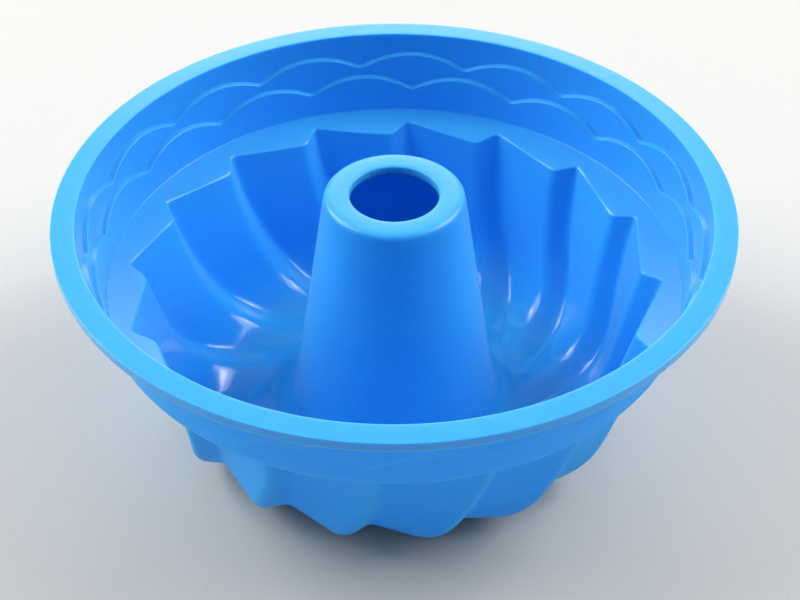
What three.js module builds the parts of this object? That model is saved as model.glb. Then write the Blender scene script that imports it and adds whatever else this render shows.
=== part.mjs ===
// Silicone kugelhopf mould: one soft moulding with a flat rim, a scalloped collar, sixteen
// swirled flutes and a hollow centre tube. It is drawn as its moulded zones, each one closed
// solid, which meet face to face at level cuts through the wall.
// Millimetres, +Z up. The origin is the centre of the ring that the mould stands on.
import * as THREE from "three";

// Driving sizes: rim and wall
const RIM_RADIUS = 115;
const RIM_WIDTH = 8;
const RIM_THICKNESS = 3.4;
const RIM_EDGE = 0.5;
const MOUTH_ROUND = 1.1;
const WALL = 1.6;
const CHANNEL_DEPTH = 90;

// Driving sizes: collar, from the rim down to the ledge
const COLLAR_HEIGHT = 30;
const COLLAR_INSET = 7;
const SCALLOP_STEP = 1.8;
const SCALLOP_LEDGE = 0.4;
const SCALLOP_BACK_DROP = 0.4;
const SCALLOP_BACK_LEDGE = 2.4;
const SCALLOP_RISE = 5.5;
const UPPER_CUSP_DROP = 12.8;
const LOWER_CUSP_DROP = 21.2;

// Driving sizes: ledge and flutes
const FLUTES = 16;
const FLUTE_START = 0.8;
const SCALLOP_START = 18.7;
const LONG_FACE_ANGLE = 18.9;
const LONG_FACE_ANGLE_AT_FOOT = 13;
const LEDGE_WIDTH = 6.2;
const LEDGE_SLOPE = 13;
const LEDGE_EDGE = 0.6;
const LEDGE_SKIRT = 4;
const FLUTE_DEPTH = 7;
const VALLEY_ROUND = 1.4;
const RIDGE_ROUND = 2.4;
const ROUND_GROWTH = 3.5;
const ROUND_LIMIT = 0.45;
const WALL_DRAFT = 14;
const FLOOR_ROUND = 24.5;
const RIDGE_LIFT = 1.8;
const FLOOR_FLAT = 4;

// Driving sizes: centre tube
const TUBE_RISE = 2.7;
const TUBE_TOP_RADIUS = 23.9;
const TUBE_TAPER = 8.4;
const TUBE_HOLE_RADIUS = 15.2;
const TUBE_LIP = 3.5;
const TUBE_TOP_ROUND = 2.2;
const TUBE_HOLE_ROUND = 0.8;
const TUBE_SHOULDER = 3;
const TUBE_FOOT_ROUND = 9;

// Facets of the round zones and steps of a curve
const RIM_SEGMENTS = 48;
const TUBE_SEGMENTS = 36;
const ROUND_STEPS = 2;
const LONG_FACE_STEPS = 3;
const WALL_STEPS = 3;
const HEEL_STEPS = 2;
const FLOOR_STEPS = 2;
const FLAT_STEPS = 2;
const FOOT_STEPS = 2;

// Sizes that follow: heights
const RIM_TOP = CHANNEL_DEPTH + WALL;
const COLLAR_TOP = RIM_TOP - RIM_THICKNESS;
const COLLAR_FOOT = RIM_TOP - COLLAR_HEIGHT;
const TUBE_TOP = RIM_TOP + TUBE_RISE;
const SHOULDER_CUT = TUBE_TOP - TUBE_LIP - TUBE_SHOULDER;

// Sizes that follow: radii of the channel side, from the mouth inwards
const MOUTH_RADIUS = RIM_RADIUS - RIM_WIDTH;
const CREASE_RADIUS = MOUTH_RADIUS - COLLAR_INSET;
const VALLEY_RADIUS = CREASE_RADIUS - LEDGE_WIDTH;
const RIDGE_RADIUS = VALLEY_RADIUS - FLUTE_DEPTH;

// Sizes that follow: angles and leans
const radians = THREE.MathUtils.degToRad;
const lerp = THREE.MathUtils.lerp;
const PITCH = 360 / FLUTES;
const DIAGONAL = Math.SQRT1_2;
const DRAFT = radians(WALL_DRAFT);
const TAPER = radians(TUBE_TAPER);
const COLLAR_LEAN = (COLLAR_INSET - 2 * SCALLOP_STEP) / COLLAR_HEIGHT;
const COLLAR_WALL = WALL * Math.hypot(1, COLLAR_LEAN);
const TUBE_WALL = WALL / Math.cos(TAPER);

// The tube's foot: a fillet between the floor and the leaning tube
const FOOT_TANGENT = TUBE_FOOT_ROUND * Math.tan((Math.PI / 2 - TAPER) / 2);
const FOOT_RADIUS = tubeRadius(WALL) + FOOT_TANGENT;
const FOOT_TURN = Math.PI / 2 - TAPER;
const FOOT_CUT = WALL + TUBE_FOOT_ROUND * (1 - Math.cos(FOOT_TURN));

function tubeRadius(z) {
  return TUBE_TOP_RADIUS + (TUBE_TOP - z) * Math.tan(TAPER);
}

function ledgeHeight(radius) {
  return COLLAR_FOOT - (CREASE_RADIUS - radius) * Math.tan(radians(LEDGE_SLOPE));
}

// A zone's solid: a band of loops of equal length, joined loop to loop and closed on the first one.
function bandGeometry(loops) {
  const count = loops[0].length;
  const points = loops.flat();
  const faces = [];
  loops.forEach((loop, row) => {
    const here = row * count;
    const next = ((row + 1) % loops.length) * count;
    loop.forEach((point, i) => {
      const j = (i + 1) % count;
      faces.push(here + i, here + j, next + j);
      faces.push(here + i, next + j, next + i);
    });
  });
  const geometry = new THREE.BufferGeometry().setFromPoints(points);
  geometry.setIndex(faces);
  geometry.computeVertexNormals();
  return geometry;
}

// A round zone's solid: a closed outline of corners [radius, height, rounding], turned about Z.
function turnedGeometry(corners, segments) {
  const outline = new THREE.Path();
  corners.forEach(([radius, height, round], i) => {
    const corner = new THREE.Vector2(radius, height);
    const before = new THREE.Vector2(...corners.at(i - 1));
    const after = new THREE.Vector2(...corners[(i + 1) % corners.length]);
    const enter = towards(corner, before, round);
    const leave = towards(corner, after, round);
    if (i === 0) outline.moveTo(enter.x, enter.y);
    else outline.lineTo(enter.x, enter.y);
    if (round > 0) outline.quadraticCurveTo(corner.x, corner.y, leave.x, leave.y);
  });
  outline.closePath();
  return new THREE.LatheGeometry(outline.getPoints(ROUND_STEPS), segments).rotateX(Math.PI / 2);
}

function towards(from, to, distance) {
  return from.clone().add(to.clone().sub(from).setLength(distance));
}

// Even shares from 0 to 1
function steps(count) {
  return Array.from({ length: count + 1 }, (unused, i) => i / count);
}

function polar(radius, degrees, z) {
  const angle = radians(degrees);
  return new THREE.Vector3(radius * Math.cos(angle), radius * Math.sin(angle), z);
}

function circleThrough(loop, radius, z) {
  return loop.map((point) => new THREE.Vector3(point.x, point.y, 0).setLength(radius).setZ(z));
}

// One turn round the flutes at a share of the way from the ledge to the tube's foot. Its corners lie
// in turn on the ridge and valley lines, anticlockwise from above: a ridge, the long face, a valley,
// the short face. Each corner is rounded, more and more on the way down, by no more than the short
// face has room for.
// The swirl: a flute turns by one pitch on its way, ever faster, and its short face leans over.
function fluteLoop(valley, ridge, share) {
  const turn = -PITCH * share ** 2;
  const longFaceAngle = lerp(LONG_FACE_ANGLE, LONG_FACE_ANGLE_AT_FOOT, share ** 2);
  const corners = [];
  for (let flute = 0; flute < FLUTES; flute++) {
    const ridgeAngle = FLUTE_START + flute * PITCH + turn;
    corners.push(polar(ridge.radius, ridgeAngle, ridge.z));
    corners.push(polar(valley.radius, ridgeAngle + longFaceAngle, valley.z));
  }
  return corners.flatMap((corner, i) => {
    const before = corners.at(i - 1);
    const after = corners[(i + 1) % corners.length];
    const isRidge = i % 2 === 0;
    const shortFace = corner.distanceTo(isRidge ? before : after);
    const round = (isRidge ? RIDGE_ROUND : VALLEY_ROUND) + ROUND_GROWTH * share ** 2;
    const setback = Math.min(round, ROUND_LIMIT * shortFace);
    const enter = towards(corner, before, setback);
    const leave = towards(corner, after, setback);
    const middle = enter.clone().lerp(leave, 0.5).lerp(corner, 0.5);
    if (!isRidge) return [enter, middle, leave];
    const alongFace = steps(LONG_FACE_STEPS).slice(1, -1);
    return [enter, middle, leave, ...alongFace.map((part) => leave.clone().lerp(after, part))];
  });
}

// The back of a skin: every point moved out of the channel by the wall. At the rows of the cuts, points
// are moved level, so that a zone's two skins end in one flat cut.
function backOf(loops, cuts) {
  return loops.map((loop, row) => {
    const above = loops[Math.max(row - 1, 0)];
    const below = loops[Math.min(row + 1, loops.length - 1)];
    const isCut = cuts.includes(row);
    return loop.map((point, i) => {
      const before = loop.at(i - 1);
      const after = loop[(i + 1) % loop.length];
      const along = direction(before, point).add(direction(point, after));
      const down = direction(above[i], point).add(direction(point, below[i]));
      const normal = down.cross(along).normalize();
      if (!isCut) return point.clone().addScaledVector(normal, WALL);
      const level = new THREE.Vector3(normal.x, normal.y, 0).normalize();
      return point.clone().addScaledVector(level, WALL / normal.dot(level));
    });
  });
}

function direction(from, to) {
  return to.clone().sub(from).normalize();
}

// The line that a valley or a ridge follows: a drafted wall, a round into the floor, and the floor in
// to the tube's foot. Its round is limited by the room between the wall and the foot.
function fluteLine(topRadius, floorZ) {
  const topZ = ledgeHeight(topRadius);
  const wallFoot = topRadius - (topZ - floorZ) * Math.tan(DRAFT);
  const tangentShare = Math.tan((Math.PI / 2 - DRAFT) / 2);
  const round = Math.min(FLOOR_ROUND, (wallFoot - FOOT_RADIUS - FLOOR_FLAT) / tangentShare);
  const roundRadius = wallFoot - round * tangentShare;
  return {
    wallEnd: floorZ + round * (1 - Math.sin(DRAFT)),
    atHeight: (z) => ({ radius: topRadius - (topZ - z) * Math.tan(DRAFT), z }),
    roundAngle: (z) => Math.asin(1 - (z - floorZ) / round),
    onRound: (angle) => ({
      radius: roundRadius + round * Math.cos(angle),
      z: floorZ + round * (1 - Math.sin(angle)),
    }),
    onFloor: (share) => ({
      radius: lerp(roundRadius, FOOT_RADIUS, share),
      z: lerp(floorZ, WALL, share),
    }),
  };
}

const valleyLine = fluteLine(VALLEY_RADIUS, WALL);
const ridgeLine = fluteLine(RIDGE_RADIUS, WALL + RIDGE_LIFT);
const WALL_TOP = ledgeHeight(RIDGE_RADIUS) - LEDGE_SKIRT;
const WALL_FOOT = Math.max(valleyLine.wallEnd, ridgeLine.wallEnd);

// Stations down the flutes: the wall from the ledge's skirt, the heel, the rest of the round, the floor
const lines = [valleyLine, ridgeLine];
const onLines = (count, place) => steps(count).map((share) => lines.map((line) => place(line, share)));
const wallStations = onLines(WALL_STEPS, (line, share) => line.atHeight(lerp(WALL_TOP, WALL_FOOT, share)));
const heelStations = onLines(HEEL_STEPS, (line, share) =>
  line.onRound(lerp(DRAFT, line.roundAngle(FOOT_CUT), share)),
);
const roundStations = onLines(FLOOR_STEPS, (line, share) =>
  line.onRound(lerp(line.roundAngle(FOOT_CUT), Math.PI / 2, share)),
);
const floorStations = onLines(FLAT_STEPS, (line, share) => line.onFloor(share));
const stations = [
  ...wallStations,
  ...heelStations.slice(1),
  ...roundStations.slice(1),
  ...floorStations.slice(1),
];

// The way down a valley from the ledge to each station
const ways = [];
stations.forEach(([valley], i) => {
  const last = i > 0 ? stations[i - 1][0] : { radius: VALLEY_RADIUS, z: ledgeHeight(VALLEY_RADIUS) };
  const step = Math.hypot(valley.radius - last.radius, valley.z - last.z);
  ways.push((i > 0 ? ways[i - 1] : 0) + step);
});
const fluteLoops = stations.map(([valley, ridge], i) => fluteLoop(valley, ridge, ways[i] / ways.at(-1)));

// The tube's foot: circles from the innermost turn of the flutes up the fillet
const footLoops = steps(FOOT_STEPS).map((share) => {
  const angle = FOOT_TURN * share;
  const radius = FOOT_RADIUS - TUBE_FOOT_ROUND * Math.sin(angle);
  return circleThrough(fluteLoops.at(-1), radius, WALL + TUBE_FOOT_ROUND * (1 - Math.cos(angle)));
});

// The channel's skin and its back, with the rows of the level cuts. The back is flat between the middle
// of the floor and the foot: the ring that the mould stands on.
const channel = [...fluteLoops.slice(0, -1), ...footLoops];
const WALL_CUT = WALL_STEPS;
const HEEL_CUT = WALL_STEPS + HEEL_STEPS;
const LAST_CUT = channel.length - 1;
const channelBack = backOf(channel, [0, WALL_CUT, HEEL_CUT, LAST_CUT]);
const restingRows = [fluteLoops.length - 2, fluteLoops.length - 1];
restingRows.forEach((row) => channelBack[row].forEach((point) => point.setZ(0)));

function channelZone(firstCut, lastCut) {
  const front = channel.slice(firstCut, lastCut + 1);
  return bandGeometry([...front, ...channelBack.slice(firstCut, lastCut + 1).reverse()]);
}

// The flat rim, a solid ring with crisp outer edges and a softer mouth
function rimFlange() {
  const innerRadius = MOUTH_RADIUS - RIM_THICKNESS * COLLAR_LEAN;
  return turnedGeometry(
    [
      [innerRadius, COLLAR_TOP, 0],
      [RIM_RADIUS, COLLAR_TOP, RIM_EDGE],
      [RIM_RADIUS, RIM_TOP, RIM_EDGE],
      [MOUTH_RADIUS, RIM_TOP, MOUTH_ROUND],
    ],
    RIM_SEGMENTS,
  );
}

// The collar: a leaning wall with two terraces, whose lips are rows of scallops with cusps that
// point down. The rows are half a pitch apart. A lip's ledge is steep in front. At the back of the
// wall the step lies lower and slopes, so that the wall keeps its thickness.
function scallopedCollar() {
  const around = channel[0].length;
  const angles = Array.from({ length: around }, (unused, i) => (i * 360) / around + SCALLOP_START);
  const plainRadius = (drop) => MOUTH_RADIUS - drop * COLLAR_LEAN;
  // A scallop is a parabola, highest midway between two cusps
  const lipDrop = (cuspDrop, startAngle, angle) => {
    const share = THREE.MathUtils.euclideanModulo(angle - startAngle, PITCH) / PITCH;
    return cuspDrop - SCALLOP_RISE * (1 - (2 * share - 1) ** 2);
  };
  const lowerLip = (angle) => lipDrop(LOWER_CUSP_DROP, SCALLOP_START, angle);
  const upperLip = (angle) => lipDrop(UPPER_CUSP_DROP, SCALLOP_START + PITCH / 2, angle);
  const skin = (extra, lower, ledge) => {
    const rows = [
      [() => RIM_THICKNESS, 0],
      [(angle) => upperLip(angle) + lower, 0],
      [(angle) => upperLip(angle) + lower + ledge, SCALLOP_STEP],
      [(angle) => lowerLip(angle) + lower, SCALLOP_STEP],
      [(angle) => lowerLip(angle) + lower + ledge, 2 * SCALLOP_STEP],
      [() => COLLAR_HEIGHT, 2 * SCALLOP_STEP],
    ];
    return rows.map(([dropAt, inset]) =>
      angles.map((angle) => {
        const drop = dropAt(angle);
        return polar(plainRadius(drop) - inset + extra, angle, RIM_TOP - drop);
      }),
    );
  };
  const front = skin(0, 0, SCALLOP_LEDGE);
  const back = skin(COLLAR_WALL, SCALLOP_BACK_DROP, SCALLOP_BACK_LEDGE);
  return bandGeometry([...front, ...back.reverse()]);
}

// The ledge under the collar, cut on its inner side by the zigzag of the flutes, with a short skirt
function fluteLedge() {
  const edge = fluteLoop(
    { radius: VALLEY_RADIUS, z: ledgeHeight(VALLEY_RADIUS) },
    { radius: RIDGE_RADIUS, z: ledgeHeight(RIDGE_RADIUS) },
    0,
  );
  const crease = circleThrough(edge, CREASE_RADIUS, COLLAR_FOOT);
  const lip = edge.map((point) => {
    const radius = Math.hypot(point.x, point.y) + LEDGE_EDGE;
    return point.clone().setZ(0).setLength(radius).setZ(ledgeHeight(radius));
  });
  const face = edge.map((point, i) => towards(point, channel[0][i], LEDGE_EDGE));
  const front = [crease, lip, face, channel[0]];
  const [, lipBack, faceBack] = backOf(front, []);
  const underside = circleThrough(edge, CREASE_RADIUS, COLLAR_FOOT - WALL);
  const corner = circleThrough(edge, CREASE_RADIUS + WALL * DIAGONAL, COLLAR_FOOT - WALL * DIAGONAL);
  const shoulder = circleThrough(edge, CREASE_RADIUS + COLLAR_WALL, COLLAR_FOOT);
  return bandGeometry([...front, channelBack[0], faceBack, lipBack, underside, corner, shoulder]);
}

// The swirled, drafted wall of the channel
function flutedWall() {
  return channelZone(0, WALL_CUT);
}

// The heel, where the flutes turn from the wall towards the floor
function flutedHeel() {
  return channelZone(WALL_CUT, HEEL_CUT);
}

// The floor, where the flutes fade out on their way to the tube's foot
function flutedFloor() {
  return channelZone(HEEL_CUT, LAST_CUT);
}

// The hollow, tapered centre tube
function centreTube() {
  const [foot, shoulder] = [FOOT_CUT, SHOULDER_CUT];
  return turnedGeometry(
    [
      [tubeRadius(foot) - TUBE_WALL, foot, 0],
      [tubeRadius(foot), foot, 0],
      [tubeRadius(shoulder), shoulder, 0],
      [tubeRadius(shoulder) - TUBE_WALL, shoulder, 0],
    ],
    TUBE_SEGMENTS,
  );
}

// The tube's flat top: a thick lip round the hole, on a short shoulder of the tube's wall
function tubeTop() {
  const lipUnderside = TUBE_TOP - TUBE_LIP;
  return turnedGeometry(
    [
      [tubeRadius(SHOULDER_CUT) - TUBE_WALL, SHOULDER_CUT, 0],
      [tubeRadius(SHOULDER_CUT), SHOULDER_CUT, 0],
      [TUBE_TOP_RADIUS, TUBE_TOP, TUBE_TOP_ROUND],
      [TUBE_HOLE_RADIUS, TUBE_TOP, TUBE_HOLE_ROUND],
      [TUBE_HOLE_RADIUS, lipUnderside, TUBE_HOLE_ROUND],
      [tubeRadius(lipUnderside) - TUBE_WALL, lipUnderside, 0],
    ],
    TUBE_SEGMENTS,
  );
}

function silicone() {
  return new THREE.MeshStandardMaterial({ color: "#2a8df0", roughness: 0.42, metalness: 0 });
}

const zones = {
  rim_flange: rimFlange,
  scalloped_collar: scallopedCollar,
  flute_ledge: fluteLedge,
  fluted_wall: flutedWall,
  fluted_heel: flutedHeel,
  fluted_floor: flutedFloor,
  centre_tube: centreTube,
  tube_top: tubeTop,
};

const mould = new THREE.Group();
mould.name = "kugelhopf_mould";
for (const [name, shape] of Object.entries(zones)) {
  const zone = new THREE.Mesh(shape(), silicone());
  zone.name = name;
  mould.add(zone);
}

export default mould;
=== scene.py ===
"""A silicone kugelhopf mould on a pale cloth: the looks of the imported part, in its frame."""

import math

import bmesh
import bpy
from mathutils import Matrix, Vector


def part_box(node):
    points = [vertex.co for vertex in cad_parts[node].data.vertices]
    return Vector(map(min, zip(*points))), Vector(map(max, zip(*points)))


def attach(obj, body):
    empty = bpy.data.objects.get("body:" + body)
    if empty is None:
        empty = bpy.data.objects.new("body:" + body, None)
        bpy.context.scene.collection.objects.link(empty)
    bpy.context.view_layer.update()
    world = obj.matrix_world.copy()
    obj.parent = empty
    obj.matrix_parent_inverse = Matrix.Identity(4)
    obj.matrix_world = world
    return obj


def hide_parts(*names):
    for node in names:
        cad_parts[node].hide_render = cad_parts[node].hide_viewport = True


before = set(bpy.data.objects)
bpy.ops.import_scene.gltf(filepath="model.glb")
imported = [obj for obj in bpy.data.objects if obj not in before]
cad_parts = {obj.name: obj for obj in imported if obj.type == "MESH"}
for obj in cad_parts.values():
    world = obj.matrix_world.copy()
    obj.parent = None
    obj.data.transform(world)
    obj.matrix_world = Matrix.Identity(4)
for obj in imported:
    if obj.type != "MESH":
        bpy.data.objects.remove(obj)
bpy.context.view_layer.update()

MM = 0.001

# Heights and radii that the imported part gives
RIM_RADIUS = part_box("rim_flange")[1].x
RIM_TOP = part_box("rim_flange")[1].z
RIM_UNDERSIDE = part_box("rim_flange")[0].z
COLLAR_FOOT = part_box("scalloped_collar")[0].z
WALL_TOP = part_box("fluted_wall")[1].z
TUBE_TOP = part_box("tube_top")[1].z

# Rim and wall
RIM_WIDTH = 8 * MM
RIM_EDGE = 0.25 * MM
MOUTH_ROUND = 0.35 * MM
WALL = 1.6 * MM

# Collar with its two rows of scallops
COLLAR_INSET = 7 * MM
SCALLOP_ROWS = 2
SCALLOP_STEP = 1.8 * MM
SCALLOP_LEDGE = 0.4 * MM
SCALLOP_RISE = 5.5 * MM
SCALLOP_BACK_DROP = 0.4 * MM
SCALLOP_BACK_LEDGE = 2.4 * MM
SCALLOP_EDGE = 0.3 * MM
LEDGE_FLAT = 0.85
UPPER_CUSP_DROP = 12.8 * MM
LOWER_CUSP_DROP = 21.2 * MM
CREASE_EDGE = 0.25 * MM

# Ledge and flutes, angles in degrees
FLUTES = 16
FLUTE_START = 0.8
SCALLOP_START = 18.7
LONG_FACE_ANGLE = 18.9
LONG_FACE_ANGLE_AT_FOOT = 13
LEDGE_WIDTH = 6.2 * MM
LEDGE_SLOPE = math.radians(13)
LEDGE_EDGE = 0.45 * MM
FLUTE_DEPTH = 7 * MM
VALLEY_ROUND = 1.4 * MM
RIDGE_ROUND = 2.4 * MM
ROUND_GROWTH = 2.2 * MM
ROUND_LIMIT = 0.45
DRAFT = math.radians(14)
FLOOR_ROUND = 24.5 * MM
RIDGE_LIFT = 1.8 * MM
FLOOR_FLAT = 4 * MM

# Centre tube
TUBE_TOP_RADIUS = 23.9 * MM
TAPER = math.radians(8.4)
TUBE_HOLE_RADIUS = 15.2 * MM
TUBE_LIP = 3.5 * MM
TUBE_TOP_ROUND = 2.2 * MM
TUBE_HOLE_ROUND = 0.8 * MM
TUBE_FOOT_ROUND = 9 * MM

# Columns of points round one flute, and rows down it
VALLEY_COLUMNS = 3
RIDGE_COLUMNS = 5
LONG_FACE_COLUMNS = 7
FLUTE_COLUMNS = VALLEY_COLUMNS + 1 + RIDGE_COLUMNS + LONG_FACE_COLUMNS
COLUMNS = FLUTES * FLUTE_COLUMNS
WALL_ROWS = 4
ROUND_ROWS = 8
FLOOR_ROWS = 4
FOOT_ROWS = 4
TUBE_ROWS = 2
CORNER_ROWS = 3

# Sizes that follow
PITCH = 360 / FLUTES
COLUMN_ANGLE = 360 / COLUMNS
RIM_THICKNESS = RIM_TOP - RIM_UNDERSIDE
COLLAR_HEIGHT = RIM_TOP - COLLAR_FOOT
MOUTH_RADIUS = RIM_RADIUS - RIM_WIDTH
CREASE_RADIUS = MOUTH_RADIUS - COLLAR_INSET
VALLEY_RADIUS = CREASE_RADIUS - LEDGE_WIDTH
RIDGE_RADIUS = VALLEY_RADIUS - FLUTE_DEPTH
COLLAR_LEAN = (COLLAR_INSET - SCALLOP_ROWS * SCALLOP_STEP) / COLLAR_HEIGHT
COLLAR_WALL = WALL * math.hypot(1, COLLAR_LEAN)
TUBE_WALL = WALL / math.cos(TAPER)
FOOT_TURN = math.pi / 2 - TAPER

# The edges of a scallop's step, as drops below its lip with their share of the step. In front it has a sharp
# inner corner, a flat ledge and a slightly rounded edge. At the back of the wall it lies lower and slopes.
STEP_FRONT = [
    (0, 0),
    (SCALLOP_LEDGE * LEDGE_FLAT, LEDGE_FLAT),
    (SCALLOP_LEDGE, 1),
    (SCALLOP_LEDGE + SCALLOP_EDGE, 1),
]
STEP_BACK = [(SCALLOP_BACK_DROP, 0), (SCALLOP_BACK_DROP + SCALLOP_BACK_LEDGE, 1)]


def polar(radius, degrees, z):
    angle = math.radians(degrees)
    return Vector((radius * math.cos(angle), radius * math.sin(angle), z))


def share_between(start, end, share):
    return start + (end - start) * share


def shares(count):
    return [step / count for step in range(count + 1)]


def round_corner(before, corner, after, setback, share):
    """A point on the curve that rounds a corner, leaving both sides at the setback."""
    enter = corner + (before - corner).normalized() * setback
    leave = corner + (after - corner).normalized() * setback
    return enter.lerp(corner, share).lerp(corner.lerp(leave, share), share)


def tube_radius(z):
    return TUBE_TOP_RADIUS + (TUBE_TOP - z) * math.tan(TAPER)


def ledge_height(radius):
    return COLLAR_FOOT - (CREASE_RADIUS - radius) * math.tan(LEDGE_SLOPE)


FOOT_RADIUS = tube_radius(WALL) + TUBE_FOOT_ROUND * math.tan(FOOT_TURN / 2)


# The flutes: each row has a valley and a ridge, a (radius, height) pair each


def flute_line(top_radius, floor_z):
    """The line of a valley or ridge: drafted wall, round into the floor, floor in to the tube's foot."""
    top_z = ledge_height(top_radius)
    wall_foot = top_radius - (top_z - floor_z) * math.tan(DRAFT)
    tangent = math.tan((math.pi / 2 - DRAFT) / 2)
    bend = min(FLOOR_ROUND, (wall_foot - FOOT_RADIUS - FLOOR_FLAT) / tangent)
    bend_radius = wall_foot - bend * tangent
    return {
        "wall_end": floor_z + bend * (1 - math.sin(DRAFT)),
        "wall": lambda z: (top_radius - (top_z - z) * math.tan(DRAFT), z),
        "round": lambda angle: (
            bend_radius + bend * math.cos(angle),
            floor_z + bend * (1 - math.sin(angle)),
        ),
        "floor": lambda share: (
            share_between(bend_radius, FOOT_RADIUS, share),
            share_between(floor_z, WALL, share * share * (3 - 2 * share)),
        ),
    }


def flute_rows():
    """The rows from the ledge's skirt to the tube's foot, each with its share of the way down."""
    valley = flute_line(VALLEY_RADIUS, WALL)
    ridge = flute_line(RIDGE_RADIUS, WALL + RIDGE_LIFT)
    wall_foot = max(valley["wall_end"], ridge["wall_end"])
    places = [("wall", share_between(WALL_TOP, wall_foot, share)) for share in shares(WALL_ROWS)]
    places += [("round", share_between(DRAFT, math.pi / 2, share)) for share in shares(ROUND_ROWS)[1:]]
    places += [("floor", share) for share in shares(FLOOR_ROWS)[1:]]
    rows = [(valley[zone](place), ridge[zone](place)) for zone, place in places]
    last, way, ways = (VALLEY_RADIUS, ledge_height(VALLEY_RADIUS)), 0, []
    for low, high in rows:
        way += math.dist(last, low)
        ways.append(way)
        last = low
    return [(low, high, along / way) for (low, high), along in zip(rows, ways)]


def flute_point(column, valley, ridge, share):
    """Where a column crosses a row. From a valley, the columns go over the short face, the ridge and the
    long face to the next valley. The swirl: a flute turns by one pitch on its way, ever faster."""
    flute, place = divmod(column, FLUTE_COLUMNS)
    turn = PITCH * (flute - share**2)
    long_face = share_between(LONG_FACE_ANGLE, LONG_FACE_ANGLE_AT_FOOT, share**2)
    this_ridge, next_ridge = (polar(ridge[0], FLUTE_START + turn + angle, ridge[1]) for angle in (0, PITCH))
    this_valley, next_valley = (
        polar(valley[0], FLUTE_START + turn + long_face + angle, valley[1]) for angle in (0, PITCH)
    )
    after_next = polar(ridge[0], FLUTE_START + turn + 2 * PITCH, ridge[1])
    room = ROUND_LIMIT * (next_ridge - this_valley).length
    growth = ROUND_GROWTH * share**2
    valley_setback, ridge_setback = min(VALLEY_ROUND + growth, room), min(RIDGE_ROUND + growth, room)

    def at_valley(part):
        return round_corner(this_ridge, this_valley, next_ridge, valley_setback, part)

    def at_ridge(part):
        return round_corner(this_valley, next_ridge, next_valley, ridge_setback, part)

    half_valley = VALLEY_COLUMNS // 2
    if place <= half_valley:
        return at_valley(shares(VALLEY_COLUMNS - 1)[half_valley + place])
    if place == half_valley + 1:
        return at_valley(1).lerp(at_ridge(0), 0.5)
    on_ridge = place - half_valley - 2
    if on_ridge < RIDGE_COLUMNS:
        return at_ridge(shares(RIDGE_COLUMNS - 1)[on_ridge])
    valley_enter = round_corner(next_ridge, next_valley, after_next, valley_setback, 0)
    on_face = on_ridge - RIDGE_COLUMNS + 1
    return at_ridge(1).lerp(valley_enter, min(on_face / (LONG_FACE_COLUMNS + 1), 1))


def level_circle(point, radius, z):
    return Vector((point.x, point.y, 0)).normalized() * radius + Vector((0, 0, z))


# The moulding: one closed skin, pulled ring by ring along its section


def pull_ring(bm, rows, place, finish):
    """Extrudes the last ring of points, puts each new point where its column goes, and keeps the ring."""
    column = bm.verts.layers.int["column"]
    last = set(rows[-1].values())
    ring = [edge for edge in bm.edges if edge.verts[0] in last and edge.verts[1] in last]
    pulled = bmesh.ops.extrude_edge_only(bm, edges=ring)["geom"]
    verts = [part for part in pulled if isinstance(part, bmesh.types.BMVert)]
    for vert in verts:
        vert.co = place(vert[column])
    for face in pulled:
        if isinstance(face, bmesh.types.BMFace):
            face.material_index = finish
    rows.append({vert[column]: vert for vert in verts})


def even_ring(radius, z, turn=0):
    return lambda column: polar(radius, SCALLOP_START + column * COLUMN_ANGLE + turn, z)


def section_corner(before, corner, after, setback, turn=0):
    """Rings that round a corner of the section, given as (radius, height) pairs."""
    points = [
        round_corner(Vector(before), Vector(corner), Vector(after), setback, share)
        for share in shares(CORNER_ROWS)
    ]
    return [even_ring(point.x, point.y, turn) for point in points]


def collar_point(column, drop, inset, out=0):
    radius = MOUTH_RADIUS - drop * COLLAR_LEAN - inset + out
    return polar(radius, SCALLOP_START + column * COLUMN_ANGLE, RIM_TOP - drop)


def lip_drop(column, cusp_drop, cusp_column):
    """How far a row of scallops lies under the rim: parabolas, highest midway between two cusps."""
    share = (column - cusp_column) % FLUTE_COLUMNS / FLUTE_COLUMNS
    return cusp_drop - SCALLOP_RISE * (1 - (2 * share - 1) ** 2)


def collar_ring(drop, inset, out):
    return lambda column: collar_point(column, drop, inset, out)


def scallop_ring(lip, below, inset, out):
    return lambda column: collar_point(column, lip_drop(column, *lip) + below, inset, out)


def collar_rings(out, edges):
    """The collar from the rim down: it steps inwards under each row of scallops, over the given edges."""
    rings = [collar_ring(RIM_THICKNESS, 0, out)]
    lips = [(UPPER_CUSP_DROP, FLUTE_COLUMNS // 2), (LOWER_CUSP_DROP, 0)]
    for step, lip in enumerate(lips):
        rings += [scallop_ring(lip, below, (step + share) * SCALLOP_STEP, out) for below, share in edges]
    foot_drops = COLLAR_HEIGHT - CREASE_EDGE, COLLAR_HEIGHT
    return rings + [collar_ring(drop, SCALLOP_ROWS * SCALLOP_STEP, out) for drop in foot_drops]


def ledge_rings(first_row):
    """The sloping ledge in to the zigzag of the flutes, and the round over its edge."""
    valley = (VALLEY_RADIUS, ledge_height(VALLEY_RADIUS))
    ridge = (RIDGE_RADIUS, ledge_height(RIDGE_RADIUS))
    crease = CREASE_RADIUS - CREASE_EDGE

    def lip(column):
        edge = flute_point(column, valley, ridge, 0)
        radius = math.hypot(edge.x, edge.y) + LEDGE_EDGE
        return level_circle(edge, radius, ledge_height(radius))

    def face(column):
        edge = flute_point(column, valley, ridge, 0)
        return edge + (flute_point(column, *first_row) - edge).normalized() * LEDGE_EDGE

    return [even_ring(crease, ledge_height(crease)), lip, face]


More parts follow.
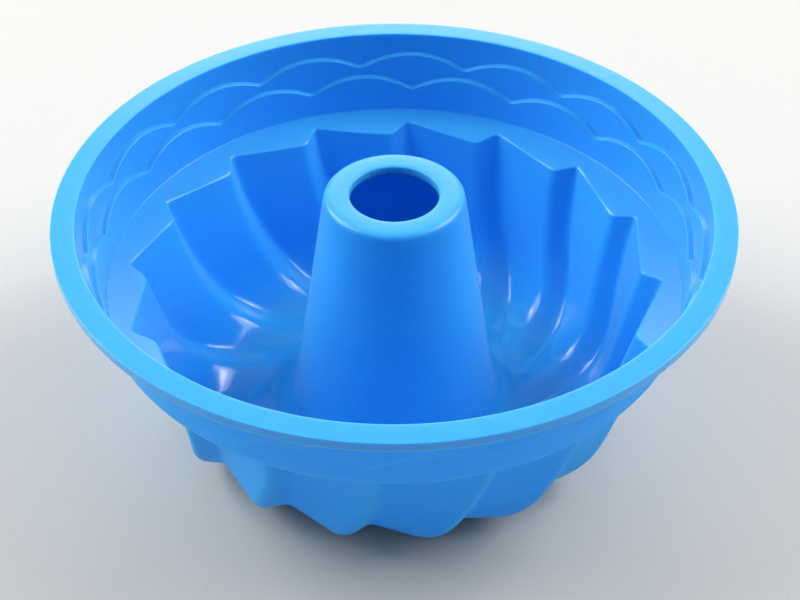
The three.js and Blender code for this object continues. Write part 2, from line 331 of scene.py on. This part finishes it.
def foot_rings(bend):
    """The fillet between the floor and the tube: its channel side, or its back, with a wider bend."""
    centre_z = WALL + TUBE_FOOT_ROUND
    return [
        even_ring(
            FOOT_RADIUS - bend * math.sin(FOOT_TURN * share),
            centre_z - bend * math.cos(FOOT_TURN * share),
            -PITCH,
        )
        for share in shares(FOOT_ROWS)
    ]


def tube_rings(low, high, inward=0):
    heights = [share_between(low, high, share) for share in shares(TUBE_ROWS)]
    return [even_ring(tube_radius(z) - inward, z, -PITCH) for z in heights]


SATIN, GRAINED = 0, 1
SHELL_LIMIT = 1.5


def sharpen(bm, rows):
    """Keeps rings of edges sharp where the soft edges would blur them."""
    crease = bm.edges.layers.float["crease_edge"]
    for row in rows:
        ring = set(row.values())
        for edge in bm.edges:
            if set(edge.verts) <= ring:
                edge[crease] = 1
                edge.smooth = False


def finished_piece(name, bm):
    mesh = bpy.data.meshes.new(name)
    bm.to_mesh(mesh)
    bm.free()
    piece = bpy.data.objects.new(name, mesh)
    bpy.context.scene.collection.objects.link(piece)
    return piece


def moulding():
    bm = bmesh.new()
    column = bm.verts.layers.int.new("column")
    bm.edges.layers.float.new("crease_edge")
    collar_back = MOUTH_RADIUS - RIM_THICKNESS * COLLAR_LEAN + COLLAR_WALL
    start = even_ring(collar_back + MOUTH_ROUND, RIM_UNDERSIDE)
    first = bmesh.ops.create_circle(bm, segments=COLUMNS, radius=collar_back)["verts"]
    for number, vert in enumerate(sorted(first, key=lambda v: math.atan2(v.co.y, v.co.x))):
        vert[column] = number
        vert.co = start(number)
    rows = [{vert[column]: vert for vert in first}]

    # The rim, from its underside round to the mouth
    under, outer_low = (collar_back, RIM_UNDERSIDE), (RIM_RADIUS, RIM_UNDERSIDE)
    outer_high, mouth = (RIM_RADIUS, RIM_TOP), (MOUTH_RADIUS, RIM_TOP)
    collar_top = (MOUTH_RADIUS - RIM_THICKNESS * COLLAR_LEAN, RIM_UNDERSIDE)
    rim = section_corner(under, outer_low, outer_high, RIM_EDGE)
    rim += section_corner(outer_low, outer_high, mouth, RIM_EDGE)
    rim += section_corner(outer_high, mouth, collar_top, MOUTH_ROUND)

    # The channel side, from the collar to the tube's foot
    flutes = flute_rows()
    collar = collar_rings(0, STEP_FRONT)
    ledge = ledge_rings(flutes[0])
    inside = rim + collar + ledge
    inside += [lambda column, row=row: flute_point(column, *row) for row in flutes[:-1]]
    inside += foot_rings(TUBE_FOOT_ROUND)
    foot_top = WALL + TUBE_FOOT_ROUND * (1 - math.cos(FOOT_TURN))
    lip_underside = TUBE_TOP - TUBE_LIP
    inside += tube_rings(foot_top, TUBE_TOP - 2 * TUBE_TOP_ROUND)[1:]
    tube_side, tube_edge = (tube_radius(lip_underside), lip_underside), (TUBE_TOP_RADIUS, TUBE_TOP)
    hole_high, hole_low = (TUBE_HOLE_RADIUS, TUBE_TOP), (TUBE_HOLE_RADIUS, lip_underside)
    inside += section_corner(tube_side, tube_edge, hole_high, TUBE_TOP_ROUND, -PITCH)
    inside += section_corner(tube_edge, hole_high, hole_low, TUBE_HOLE_ROUND, -PITCH)
    channel_start = len(rows)
    for ring in inside:
        pull_ring(bm, rows, ring, SATIN)

    # The back, from the lip down inside the tube, under the floor and up the outside
    tube_inside = (tube_radius(lip_underside) - TUBE_WALL, lip_underside)
    back = section_corner(hole_high, hole_low, tube_inside, TUBE_HOLE_ROUND, -PITCH)
    back.append(even_ring(tube_inside[0] - WALL, lip_underside, -PITCH))
    back += tube_rings(lip_underside - WALL, foot_top + WALL, TUBE_WALL)
    back += foot_rings(TUBE_FOOT_ROUND + WALL)[::-1]
    bm.normal_update()
    collar_start = channel_start + len(rim)
    ledge_start = collar_start + len(collar)
    flute_start = ledge_start + len(ledge)
    flute_end = flute_start + len(flutes) - 1
    outward = -1 if rows[flute_end][0].normal.z > 0 else 1

    def behind(row):
        places = {}
        for number, vert in row.items():
            depth = WALL * min(vert.calc_shell_factor(), SHELL_LIMIT)
            places[number] = vert.co + vert.normal * outward * depth
        return places

    flute_backs = [behind(row) for row in rows[flute_start:flute_end]]
    for resting in flute_backs[-FLOOR_ROWS // 2 :]:
        for point in resting.values():
            point.z = 0
    lip_back, face_back = behind(rows[ledge_start + 1]), behind(rows[ledge_start + 2])
    ledge_corner = {number: lip_back[number].lerp(face_back[number], 0.5) for number in lip_back}
    crease_back = [behind(rows[ledge_start]), behind(rows[ledge_start - 1])]
    backs = flute_backs[::-1] + [ledge_corner] + crease_back
    back += [lambda column, places=places: places[column] for places in backs]
    back += collar_rings(COLLAR_WALL, STEP_BACK)[-2::-1]
    for ring in back:
        pull_ring(bm, rows, ring, GRAINED)

    # The last ring joins the first one under the rim
    ends = set(rows[0].values()), set(rows[-1].values())
    open_edges = [edge for edge in bm.edges if any(set(edge.verts) <= end for end in ends)]
    for face in bmesh.ops.bridge_loops(bm, edges=open_edges)["faces"]:
        face.material_index = GRAINED
    bmesh.ops.recalc_face_normals(bm, faces=bm.faces)
    for face in bm.faces:
        face.smooth = True
    first_corner = collar_start + 1
    inner_corners = rows[first_corner : first_corner + SCALLOP_ROWS * len(STEP_FRONT) : len(STEP_FRONT)]
    ledge_edges = rows[ledge_start + 1 : flute_start]
    steps_at_back = rows[-1 - SCALLOP_ROWS * len(STEP_BACK) : -1]
    sharpen(bm, inner_corners + ledge_edges + steps_at_back)
    piece = finished_piece("silicone_mould", bm)
    smooth = piece.modifiers.new("soft edges", "SUBSURF")
    smooth.levels = smooth.render_levels = 1
    return piece


# Materials


def linear(hex_colour):
    """An sRGB hex colour as linear RGBA."""
    channels = [int(hex_colour[i : i + 2], 16) / 255 for i in (1, 3, 5)]
    return [c / 12.92 if c <= 0.04045 else ((c + 0.055) / 1.055) ** 2.4 for c in channels] + [1]


def add_node(tree, kind, inputs, **settings):
    """Adds a node: settings are its own properties, inputs are values or other nodes' sockets by name."""
    node = tree.nodes.new(kind)
    for name, value in settings.items():
        setattr(node, name, value)
    for name, value in inputs.items():
        if isinstance(value, bpy.types.NodeSocket):
            tree.links.new(value, node.inputs[name])
        else:
            node.inputs[name].default_value = value
    return node


def new_material(name):
    material = bpy.data.materials.new(name)
    material.use_nodes = True
    material.node_tree.nodes.clear()
    return material, material.node_tree


SILICONE_IOR = 1.41

# Light wanders through the soft rubber, blue furthest, and shines out at the back of the thin wall
GLOW = {"Subsurface Weight": 0.9, "Subsurface Radius": (0.25, 0.7, 1)}
BLUE = "#35aaec"
BLUE_SHADE = "#30a4e8"


def satin_silicone():
    """Silicone moulded against polished steel: an even, saturated blue with a soft satin gloss, clouded very
    slightly by the pigment."""
    material, tree = new_material("satin_silicone")
    place = add_node(tree, "ShaderNodeTexCoord", {})
    cloud_size = 14 * MM
    cloud = add_node(
        tree,
        "ShaderNodeTexNoise",
        {"Vector": place.outputs["Object"], "Scale": 1 / cloud_size, "Detail": 3},
    )
    ramp = add_node(tree, "ShaderNodeValToRGB", {"Fac": cloud.outputs["Fac"]})
    ramp.color_ramp.elements[0].color = linear(BLUE_SHADE)
    ramp.color_ramp.elements[1].color = linear(BLUE)
    split = add_node(tree, "ShaderNodeSeparateXYZ", {"Vector": place.outputs["Object"]})
    # The channel's floor is glossier than the wall above it
    gloss = add_node(
        tree,
        "ShaderNodeMapRange",
        {
            "Value": split.outputs["Z"],
            "From Min": 10 * MM,
            "From Max": 45 * MM,
            "To Min": 0.14,
            "To Max": 0.26,
        },
    )
    shader = add_node(
        tree,
        "ShaderNodeBsdfPrincipled",
        {
            "Base Color": ramp.outputs["Color"],
            "Roughness": gloss.outputs["Result"],
            "IOR": SILICONE_IOR,
            "Specular IOR Level": 0.6,
            "Sheen Weight": 0.4,
            "Sheen Roughness": 0.4,
            "Sheen Tint": linear("#d8f4ff"),
            "Subsurface Scale": 3.4 * MM,
            **GLOW,
        },
    )
    add_node(tree, "ShaderNodeOutputMaterial", {"Surface": shader.outputs["BSDF"]})
    return material


def grained_silicone():
    """Silicone moulded against an etched tool: matt, with a fine pebbled grain that catches the light."""
    material, tree = new_material("grained_silicone")
    place = add_node(tree, "ShaderNodeTexCoord", {})
    stretch = add_node(
        tree, "ShaderNodeMapping", {"Vector": place.outputs["Object"], "Scale": (1, 1, 0.8)}
    )
    # The real grain is finer: this is as coarse as it needs to be to show
    grain_size = 0.8 * MM
    grain = add_node(
        tree, "ShaderNodeTexVoronoi", {"Vector": stretch.outputs["Vector"], "Scale": 1 / grain_size}
    )
    split = add_node(tree, "ShaderNodeSeparateXYZ", {"Vector": place.outputs["Object"]})
    # The collar is grained more deeply than the flutes
    depth = add_node(
        tree,
        "ShaderNodeMapRange",
        {
            "Value": split.outputs["Z"],
            "From Min": 50 * MM,
            "From Max": 62 * MM,
            "To Min": 0.4,
            "To Max": 1,
        },
    )
    bump = add_node(
        tree,
        "ShaderNodeBump",
        {
            "Strength": depth.outputs["Result"],
            "Distance": 0.15 * MM,
            "Height": grain.outputs["Distance"],
        },
        invert=True,
    )
    shader = add_node(
        tree,
        "ShaderNodeBsdfPrincipled",
        {
            "Base Color": linear(BLUE),
            "Roughness": 0.55,
            "IOR": SILICONE_IOR,
            "Specular IOR Level": 0.3,
            "Subsurface Scale": 5 * MM,
            **GLOW,
            "Normal": bump.outputs["Normal"],
        },
    )
    add_node(tree, "ShaderNodeOutputMaterial", {"Surface": shader.outputs["BSDF"]})
    return material


def white_cloth():
    """Bleached cotton laid flat: matt and nearly white, with a plain weave that shows as fine dots."""
    material, tree = new_material("white_cloth")
    place = add_node(tree, "ShaderNodeTexCoord", {})
    # Thicker than real threads, so that the weave shows. A wave repeats every pi / (10 x scale).
    thread = 1.1 * MM
    turned = add_node(
        tree,
        "ShaderNodeMapping",
        {"Vector": place.outputs["Object"], "Rotation": (0, 0, math.radians(38))},
    )
    threads = [
        add_node(
            tree,
            "ShaderNodeTexWave",
            {
                "Vector": turned.outputs["Vector"],
                "Scale": math.pi / (10 * thread),
                "Distortion": 0.6,
                "Detail Scale": 2,
            },
            bands_direction=direction,
        )
        for direction in ("X", "Y")
    ]
    weave = add_node(
        tree,
        "ShaderNodeMath",
        {0: threads[0].outputs["Fac"], 1: threads[1].outputs["Fac"]},
        operation="MULTIPLY",
    )
    shades = add_node(tree, "ShaderNodeValToRGB", {"Fac": weave.outputs["Value"]})
    shades.color_ramp.elements[0].color = linear("#cbcac7")
    shades.color_ramp.elements[1].color = linear("#d3d2cf")
    bump = add_node(
        tree, "ShaderNodeBump", {"Strength": 0.5, "Distance": 0.1 * MM, "Height": weave.outputs["Value"]}
    )
    shader = add_node(
        tree,
        "ShaderNodeBsdfPrincipled",
        {
            "Base Color": shades.outputs["Color"],
            "Roughness": 0.95,
            "Specular IOR Level": 0.2,
            "Normal": bump.outputs["Normal"],
        },
    )
    add_node(tree, "ShaderNodeOutputMaterial", {"Surface": shader.outputs["BSDF"]})
    return material


# Studio: table, light and camera

TABLE_HALF = 3.0
CAMERA_PLACE = (1.9 * MM, -434.9 * MM, 418.6 * MM)
CAMERA_DOWN = 40.51
SENSOR_WIDTH = 36
LENS = 72.3
LIT_POINT = Vector((0, 0, 0.05))

# Lamps: name, azimuth and elevation in degrees, distance, width and height in metres, watts
LAMPS = [
    ("left_softbox", 165, 38, 2, 1.5, 1.7, 36),
    ("right_softbox", 15, 42, 2, 1.5, 1.5, 32),
    ("back_softbox", 90, 25, 2, 0.9, 0.9, 6),
    ("right_window", 26, 46, 2, 0.25, 0.45, 4),
    ("left_window", 150, 40, 2, 0.25, 0.45, 4),
]


def table():
    bm = bmesh.new()
    bmesh.ops.create_grid(bm, x_segments=1, y_segments=1, size=TABLE_HALF)
    floor = finished_piece("table", bm)
    floor.data.materials.append(white_cloth())
    return floor


def area_lamp(name, place, width, height, watts):
    lamp = bpy.data.lights.new(name, "AREA")
    lamp.shape = "RECTANGLE"
    lamp.size, lamp.size_y, lamp.energy = width, height, watts
    light = bpy.data.objects.new(name, lamp)
    light.location = place
    light.rotation_euler = (LIT_POINT - place).to_track_quat("-Z", "Y").to_euler()
    bpy.context.scene.collection.objects.link(light)


def daylight():
    """A pale room that gets darker towards the viewer, soft boxes at the sides and behind, and two small
    windows that give the glints."""
    world = bpy.data.worlds.new("daylight")
    world.use_nodes = True
    tree = world.node_tree
    way = add_node(tree, "ShaderNodeTexCoord", {})
    split = add_node(tree, "ShaderNodeSeparateXYZ", {"Vector": way.outputs["Generated"]})
    level = add_node(
        tree,
        "ShaderNodeMapRange",
        {
            "Value": split.outputs["Y"],
            "From Min": -1,
            "From Max": 0.5,
            "To Min": 0.14,
            "To Max": 0.54,
        },
    )
    tree.links.new(level.outputs["Result"], tree.nodes["Background"].inputs["Strength"])
    tree.nodes["Background"].inputs["Color"].default_value = linear("#f8fbff")
    bpy.context.scene.world = world
    for name, azimuth, elevation, distance, width, height, watts in LAMPS:
        away = distance * math.cos(math.radians(elevation))
        rise = distance * math.sin(math.radians(elevation))
        area_lamp(name, LIT_POINT + polar(away, azimuth, rise), width, height, watts)


def camera():
    lens = bpy.data.cameras.new("camera")
    lens.sensor_width = SENSOR_WIDTH
    lens.lens = LENS
    view = bpy.data.objects.new("camera", lens)
    view.location = CAMERA_PLACE
    view.rotation_euler = (math.radians(90 - CAMERA_DOWN), 0, 0)
    bpy.context.scene.collection.objects.link(view)
    bpy.context.scene.camera = view


mould = moulding()
mould.data.materials.append(satin_silicone())
mould.data.materials.append(grained_silicone())
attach(mould, "root")
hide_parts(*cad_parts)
table()
daylight()
camera()
bpy.context.scene.view_settings.view_transform = "Standard"
